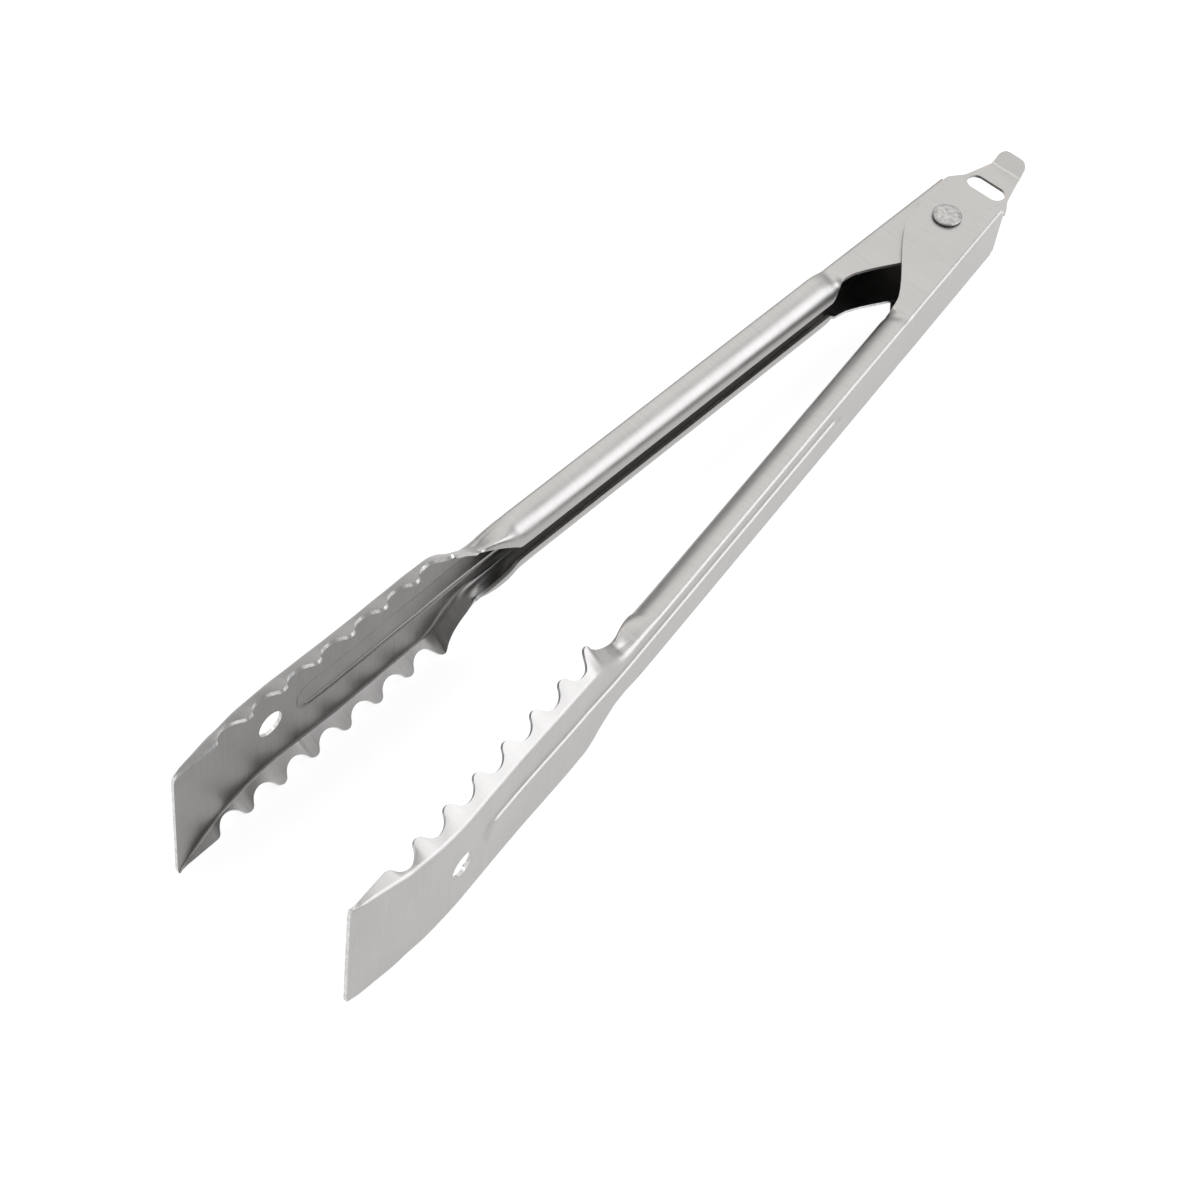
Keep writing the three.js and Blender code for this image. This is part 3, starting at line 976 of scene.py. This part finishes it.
    def build(
        self, face: bpy.types.Material, edge: bpy.types.Material, inside: bpy.types.Material
    ) -> bpy.types.Object:
        """Make the arm and hang it on its body.

        Args:
            face: The finish of the sheet's outer faces.
            edge: The finish of its cut edges.
            inside: The finish of its inner faces, darkened as painted shade.

        Returns:
            The arm.
        """
        arm = show(self.body.value + "_pressing", self.blank(), [face, edge, inside])
        soften_edges(arm, 0.1, 50.0)
        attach(arm, self.body.value)
        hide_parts(self.body.value)
        return arm


# Hinge hardware ---


@dataclass
class Rivet:
    """The solid rivet through the four cheeks."""

    shank_radius: float = 2.4
    head_radius: float = 4.03
    head_height: float = 0.95
    under_head: float = 9.22
    rim_radius: float = 0.42
    dent_depth: float = 0.05
    sides: int = 72

    def half_profile(self) -> Points:
        """Draw a head's outline.

        Returns:
            Radius and height, from the shank to the crown.
        """
        top = self.under_head + self.head_height
        shoulder = np.linspace(0.0, math.pi / 2, 9)
        rim = self.rim_radius
        edge = np.column_stack([
            self.head_radius - rim + rim * np.cos(shoulder),
            self.under_head + 0.3 + rim * np.sin(shoulder),
        ])
        crown_radius = np.linspace(self.head_radius - rim, 0.05, 10)[1:]
        share = crown_radius / (self.head_radius - rim)
        crown = np.column_stack([crown_radius, top - (top - edge[-1, 1]) * share**3.0])
        start = [[self.shank_radius, self.under_head], [self.head_radius - 0.1, self.under_head]]
        return np.vstack([start, edge, crown])

    def build(self, finish: bpy.types.Material) -> bpy.types.Object:
        """Make the rivet and hang it on the outer arm.

        Args:
            finish: The finish of the whole rivet.

        Returns:
            The rivet.
        """
        half = self.half_profile()
        profile = np.vstack([(half * (1, -1))[::-1], half])
        angle = np.linspace(0.0, 2 * math.pi, self.sides + 1)[:-1]
        circle = np.column_stack([np.cos(angle), np.sin(angle)])
        rows = np.stack([np.column_stack([r * circle, np.full(self.sides, z)]) for r, z in profile])
        x, y, z = rows[..., 0], rows[..., 1], rows[..., 2].copy()
        dents = np.sin(x * 2.3 + 0.7) * np.sin(y * 2.9 + x) * self.dent_depth
        inside = smooth(self.head_radius, self.head_radius - 1.0, np.hypot(x, y))
        rows[..., 2] -= dents * inside * np.sign(z) * (np.abs(z) > self.under_head + 0.4)
        uv = np.stack([np.column_stack([angle * r, np.full(self.sides, z)]) for r, z in profile])
        rivet = show("rivet", Grid("rivet", place(rows), uv).mesh(), [finish])
        soften_edges(rivet, 0.08, 60.0)
        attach(rivet, Body.OUTER_ARM.value)
        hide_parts("pivot_rivet")
        return rivet


@dataclass
class Sleeve:
    """The tube round the rivet that holds the cheeks apart."""

    bore_radius: float = 2.7
    outer_radius: float = 3.3
    bottom: float = -6.22
    top: float = 5.32
    sides: int = 64

    def build(self, finish: bpy.types.Material) -> bpy.types.Object:
        """Make the sleeve and hang it on the outer arm.

        Args:
            finish: The finish of the whole sleeve.

        Returns:
            The sleeve.
        """
        loop = [
            (self.bore_radius, self.bottom), (self.outer_radius, self.bottom),
            (self.outer_radius, self.top), (self.bore_radius, self.top),
        ]
        angle = np.linspace(0.0, 2 * math.pi, self.sides + 1)[:-1]
        points, faces = [], []
        for r, z in loop:
            points.extend([r * math.cos(a), r * math.sin(a), z] for a in angle)
        for k in range(4):
            for j in range(self.sides):
                n = (j + 1) % self.sides
                this, following = k * self.sides, (k + 1) % 4 * self.sides
                faces.append((this + j, this + n, following + n, following + j))
        mesh = bpy.data.meshes.new("sleeve")
        mesh.from_pydata(place(np.array(points)).tolist(), [], faces)
        around = np.tile(angle * self.outer_radius, 4)
        write_uv(mesh, np.column_stack([around, np.array(points)[:, 2]]))
        sleeve = show("sleeve", mesh, [finish])
        soften_edges(sleeve, 0.1, 60.0)
        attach(sleeve, Body.OUTER_ARM.value)
        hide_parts("spacer_sleeve")
        return sleeve


@dataclass
class Spring:
    """The torsion spring round the sleeve, with a leg against each arm."""

    wire_radius: float = 0.7
    coil_radius: float = 5.0
    half_length: float = 4.1
    turns: int = 5
    leg_reach: float = 32.0
    leg_spread: float = 11.75
    sides: int = 14

    def centre_line(self) -> Points:
        """Wind the wire.

        Returns:
            Its centre line, from one leg's end to the other's.
        """
        lean = math.atan2(self.leg_spread - self.coil_radius, self.leg_reach)
        sweep = 2 * math.pi * self.turns + math.pi - 2 * lean
        t = np.linspace(0.0, 1.0, 36 * self.turns)
        angle = -math.pi / 2 - lean + sweep * t
        coil = np.column_stack([
            self.coil_radius * np.cos(angle),
            self.coil_radius * np.sin(angle),
            self.half_length * (2 * t - 1),
        ])
        first = np.array([-self.leg_reach, -self.leg_spread, -self.half_length])
        last = np.array([-self.leg_reach, self.leg_spread, self.half_length])
        share = np.linspace(0.0, 1.0, 25)[:-1, None]
        return np.vstack([mix(first, coil[0], share), coil, mix(last, coil[-1], share)[::-1]])

    def build(self, finish: bpy.types.Material) -> bpy.types.Object:
        """Make the spring and leave it fixed in the frame, attached to no body.

        Args:
            finish: The finish of the wire.

        Returns:
            The spring.
        """
        line = self.centre_line()
        ahead = np.gradient(line, axis=0)
        ahead /= np.linalg.norm(ahead, axis=1)[:, None]
        up = np.tile([0.0, 0.0, 1.0], (len(line), 1))
        side = np.cross(up, ahead)
        side /= np.linalg.norm(side, axis=1)[:, None]
        up = np.cross(ahead, side)
        angle = np.linspace(0.0, 2 * math.pi, self.sides + 1)[:-1]
        ring = np.cos(angle)[None, :, None] * side[:, None] + np.sin(angle)[None, :, None] * up[:, None]
        rows = line[:, None] + ring * self.wire_radius
        run = np.concatenate([[0.0], np.cumsum(np.linalg.norm(np.diff(line, axis=0), axis=1))])
        uv = np.dstack(np.broadcast_arrays(run[:, None], angle[None, :] * self.wire_radius))
        spring = show("spring", Grid("spring", place(rows), uv).mesh(), [finish])
        soften_edges(spring, 0.1, 60.0)
        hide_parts("torsion_spring")
        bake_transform(spring)
        return spring


@dataclass
class LockPlate:
    """The sliding plate with its shoulders, hanging slot and bent-up thumb tab."""

    sheet: float = 0.9
    top: float = 6.52
    turn_degrees: float = -2.5
    travel: float = 8.0
    bend_start: float = 27.95
    bend_radius: float = 1.35
    bend_degrees: float = 45.0
    tab_end: float = 33.9
    tab_corner: float = 2.6
    long_slot_radius: float = 2.75
    hanging_slot: tuple[float, float, float] = (19.4, 5.85, 2.65)
    grain_shift: tuple[float, float] = (400.0, 0.0)

    def outline(self) -> list[tuple[float, float]]:
        """Draw the flat blank: straight sides, a shoulder on each, and the tapering tab.

        Returns:
            Its outline, as along and across.
        """
        front = [(-14.0, 6.6), (-13.7, 7.3), (-13.0, 7.6), (12.2, 7.6)]
        shoulder = [
            (12.9, 8.2), (14.3, 8.2), (14.45, 8.5), (14.5, 9.1), (14.75, 9.4), (15.15, 9.45),
            (15.6, 9.35), (16.2, 9.05),
        ]
        flush = [(12.9, 9.2), (13.5, 9.3), (13.6, 10.0), (13.85, 10.25), (15.0, 10.15), (15.9, 9.75)]
        tab = [(18.9, 7.5), (19.6, 7.15), (20.4, 6.85), (28.4, 4.6)]
        round_off = self.tab_corner
        corner = [
            (self.tab_end - round_off + round_off * math.sin(a), 1.7 + round_off * math.cos(a))
            for a in np.linspace(0.0, math.pi / 2, 9)
        ]
        near_side = [*front, *shoulder, *tab, *corner]
        far_side = [*front, *flush, *tab, *corner]
        return [*((x, -y) for x, y in near_side), *reversed(far_side)]

    @staticmethod
    def stadium(
        x: float, half_length: float, radius: float, lengthwise: bool
    ) -> list[tuple[float, float]]:
        """Draw a slot with round ends.

        Args:
            x: Where its middle lies along the plate.
            half_length: Half of its length.
            radius: The radius of its ends.
            lengthwise: Whether it runs along the plate.

        Returns:
            Its outline, as along and across.
        """
        reach = half_length - radius
        points = []
        for i in range(32):
            angle = 2 * math.pi * (i + 0.5) / 32
            shift = math.copysign(reach, math.cos(angle))
            along, across = radius * math.cos(angle) + shift, radius * math.sin(angle)
            points.append((x + along, across) if lengthwise else (x - across, along))
        return points

    def flat_blank(self) -> bpy.types.Mesh:
        """Cut the blank and its two slots.

        Returns:
            A flat sheet, centred on its own thickness.
        """
        curve = bpy.data.curves.new("blank", "CURVE")
        curve.dimensions = "2D"
        curve.fill_mode = "BOTH"
        curve.extrude = self.sheet / 2
        middle, radius = self.travel / 2, self.long_slot_radius
        loops = [
            self.outline(),
            self.stadium(-middle, middle + radius, radius, True),
            self.stadium(*self.hanging_slot, False),
        ]
        for loop in loops:
            spline = curve.splines.new("POLY")
            spline.points.add(len(loop) - 1)
            spline.points.foreach_set("co", np.array([(x, y, 0.0, 1.0) for x, y in loop]).ravel())
            spline.use_cyclic_u = True
        holder = bpy.data.objects.new("blank", curve)
        bpy.context.scene.collection.objects.link(holder)
        depsgraph = bpy.context.evaluated_depsgraph_get()
        mesh = bpy.data.meshes.new_from_object(holder.evaluated_get(depsgraph))
        bpy.data.objects.remove(holder)
        return mesh

    def bent(self, points: Points) -> Points:
        """Bend the tab up.

        Args:
            points: Places on the flat plate.

        Returns:
            The places once the tab is bent.
        """
        x, y, z = points.T.copy()
        limit = math.radians(self.bend_degrees)
        middle = self.top + self.bend_radius
        radius = middle - z
        neutral = self.bend_radius + self.sheet / 2
        angle = np.clip((x - self.bend_start) / neutral, 0.0, limit)
        rest = np.maximum(x - self.bend_start - neutral * limit, 0.0)
        straight = x < self.bend_start
        bent_x = self.bend_start + radius * np.sin(angle) + rest * np.cos(angle)
        bent_z = middle - radius * np.cos(angle) + rest * np.sin(angle)
        return np.column_stack([np.where(straight, x, bent_x), y, np.where(straight, z, bent_z)])

    def build(self, face: bpy.types.Material, edge: bpy.types.Material) -> bpy.types.Object:
        """Make the plate and hang it on its own body.

        Args:
            face: The finish of the sheet's faces.
            edge: The finish of its cut edges.

        Returns:
            The plate.
        """
        mesh = self.flat_blank()
        work = bmesh.new()
        work.from_mesh(mesh)
        bmesh.ops.remove_doubles(work, verts=work.verts, dist=1e-4)
        for at in np.arange(self.bend_start, self.tab_end, 0.2):
            parts = [*work.verts, *work.edges, *work.faces]
            bmesh.ops.bisect_plane(work, geom=parts, plane_co=(at, 0, 0), plane_no=(1, 0, 0))
        for part in work.faces:
            part.material_index = 0 if abs(part.normal.z) > 0.5 else 1
        work.to_mesh(mesh)
        work.free()
        flat = np.array([v.co for v in mesh.vertices])
        flat[:, 2] += self.top - self.sheet / 2
        points = self.bent(flat)
        angle = math.radians(self.turn_degrees)
        x, y, z = points.T
        turned = np.column_stack([
            x * math.cos(angle) - y * math.sin(angle), x * math.sin(angle) + y * math.cos(angle), z
        ])
        mesh.vertices.foreach_set("co", place(turned).astype(np.float32).ravel())
        for layer in list(mesh.uv_layers):
            mesh.uv_layers.remove(layer)
        write_uv(mesh, flat[:, :2] + self.grain_shift)
        mesh.materials.clear()
        plate = show("lock_tab", mesh, [face, edge])
        soften_edges(plate, 0.24, 40.0, 3)
        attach(plate, Body.LOCK_PLATE.value)
        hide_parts("lock_plate")
        return plate


# Studio ---


@dataclass(frozen=True)
class SoftLamp:
    """One square softbox: where it hangs, in metres, its width, its watts and its tint."""

    name: str
    spot: tuple[float, float, float]
    size: float
    power: float
    tint: tuple[float, float, float]


@dataclass
class Studio:
    """The pale table, the soft lamps and the camera."""

    eye: tuple[float, float, float] = (-497.3, -206.5, 510.9)
    azimuth: float = -59.4
    elevation: float = 52.412
    roll: float = 9.175
    lens: float = 80.88
    sensor: float = 36.0
    clip: tuple[float, float] = (0.01, 50.0)
    sky: float = 0.5
    table_reach: float = 12.0
    table_gap: float = 0.0005
    lamps: tuple[SoftLamp, ...] = (
        SoftLamp("Overhead_lamp", (0.84, 0.5, 1.27), 1.6, 8.5, (1.0, 0.985, 0.965)),
        SoftLamp("Side_lamp", (0.8, -1.12, 0.74), 1.45, 15.8, (0.96, 0.975, 1.0)),
        SoftLamp("Top_lamp", (-0.4, 0.47, 1.37), 0.3, 2.8, (1.0, 0.99, 0.98)),
        SoftLamp("Left_lamp", (-1.2, 0.45, 0.85), 1.2, 4.4, (1.0, 0.985, 0.965)),
    )

    def camera(self) -> bpy.types.Object:
        """Stand the camera where the tongs are seen from above the outer arm's jaw.

        Returns:
            The camera.
        """
        lens = bpy.data.cameras.new("Camera")
        lens.lens = self.lens
        lens.sensor_width = self.sensor
        lens.clip_start, lens.clip_end = self.clip
        camera = bpy.data.objects.new("Camera", lens)
        a, e, r = (math.radians(v) for v in (self.azimuth, self.elevation, self.roll))
        back = Vector((math.sin(a) * math.cos(e), -math.cos(a) * math.cos(e), math.sin(e)))
        right = Vector((math.cos(a), math.sin(a), 0.0))
        up = back.cross(right)
        turned_right = right * math.cos(r) + up * math.sin(r)
        turned_up = up * math.cos(r) - right * math.sin(r)
        axes = Matrix((turned_right, turned_up, back)).transposed().to_4x4()
        camera.matrix_world = Matrix.Translation(Vector(place(np.array(self.eye)))) @ axes
        bpy.context.scene.collection.objects.link(camera)
        bpy.context.scene.camera = camera
        return camera

    def light(self) -> None:
        """Hang the soft lamps and light the room evenly."""
        aim = Vector((0.0, 0.0, 0.02))
        for box in self.lamps:
            lamp = bpy.data.lights.new(box.name, "AREA")
            lamp.shape = "SQUARE"
            lamp.size = box.size
            lamp.energy = box.power
            lamp.color = box.tint
            thing = bpy.data.objects.new(box.name, lamp)
            thing.location = box.spot
            thing.rotation_euler = (aim - Vector(box.spot)).to_track_quat("-Z", "Y").to_euler()
            bpy.context.scene.collection.objects.link(thing)
        world = bpy.data.worlds.new("Room")
        world.use_nodes = True
        backdrop = world.node_tree.nodes["Background"]
        backdrop.inputs["Color"].default_value = (1.0, 1.0, 1.0, 1.0)
        backdrop.inputs["Strength"].default_value = self.sky
        bpy.context.scene.world = world

    def table(self) -> bpy.types.Object:
        """Lay the table top under the lowest point of the tongs.

        Returns:
            The table top.
        """
        low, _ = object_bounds()
        mesh = bpy.data.meshes.new("Table")
        height = low[2] - self.table_gap
        corners = [(x * self.table_reach, y * self.table_reach, height)
                   for x, y in ((-1, -1), (1, -1), (1, 1), (-1, 1))]
        mesh.from_pydata(corners, [], [(0, 1, 2, 3)])
        mesh.materials.append(PaleTable("Pale table").material())
        table = bpy.data.objects.new("Table", mesh)
        bpy.context.scene.collection.objects.link(table)
        table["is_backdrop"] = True
        return table


def main() -> None:
    """Build the tongs, the table and the studio."""
    logging.basicConfig(level=logging.INFO, format="%(name)s: %(message)s")
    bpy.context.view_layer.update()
    studio = Studio()
    studio.camera()
    studio.table()
    studio.light()
    bpy.context.scene.view_settings.view_transform = "Standard"
    sheet = BrushedSheet("Brushed sheet").material()
    inside = BrushedSheet("Inner face painted shade", INSIDE_PAINTED_SHADE_DARK, INSIDE_PAINTED_SHADE_LIGHT, roughness=0.38).material()
    edge = ShearedEdge("Sheared edge").material()
    wire = DrawnWire("Drawn wire").material()
    makers: list[tuple[str, Callable[[], bpy.types.Object]]] = [
        ("outer arm", lambda: Arm(Side.OUTER, Body.OUTER_ARM, 8.92).build(sheet, edge, inside)),
        ("inner arm", lambda: Arm(Side.INNER, Body.INNER_ARM, 7.72).build(sheet, edge, inside)),
        ("rivet", lambda: Rivet().build(PeenedSteel("Peened steel").material())),
        ("sleeve", lambda: Sleeve().build(wire)),
        ("spring", lambda: Spring().build(wire)),
        ("lock plate", lambda: LockPlate().build(sheet, edge)),
    ]
    for label, make in makers:
        thing = make()
        log.info("%s: %d faces", label, len(thing.data.polygons))


if __name__ == "__main__":
    main()
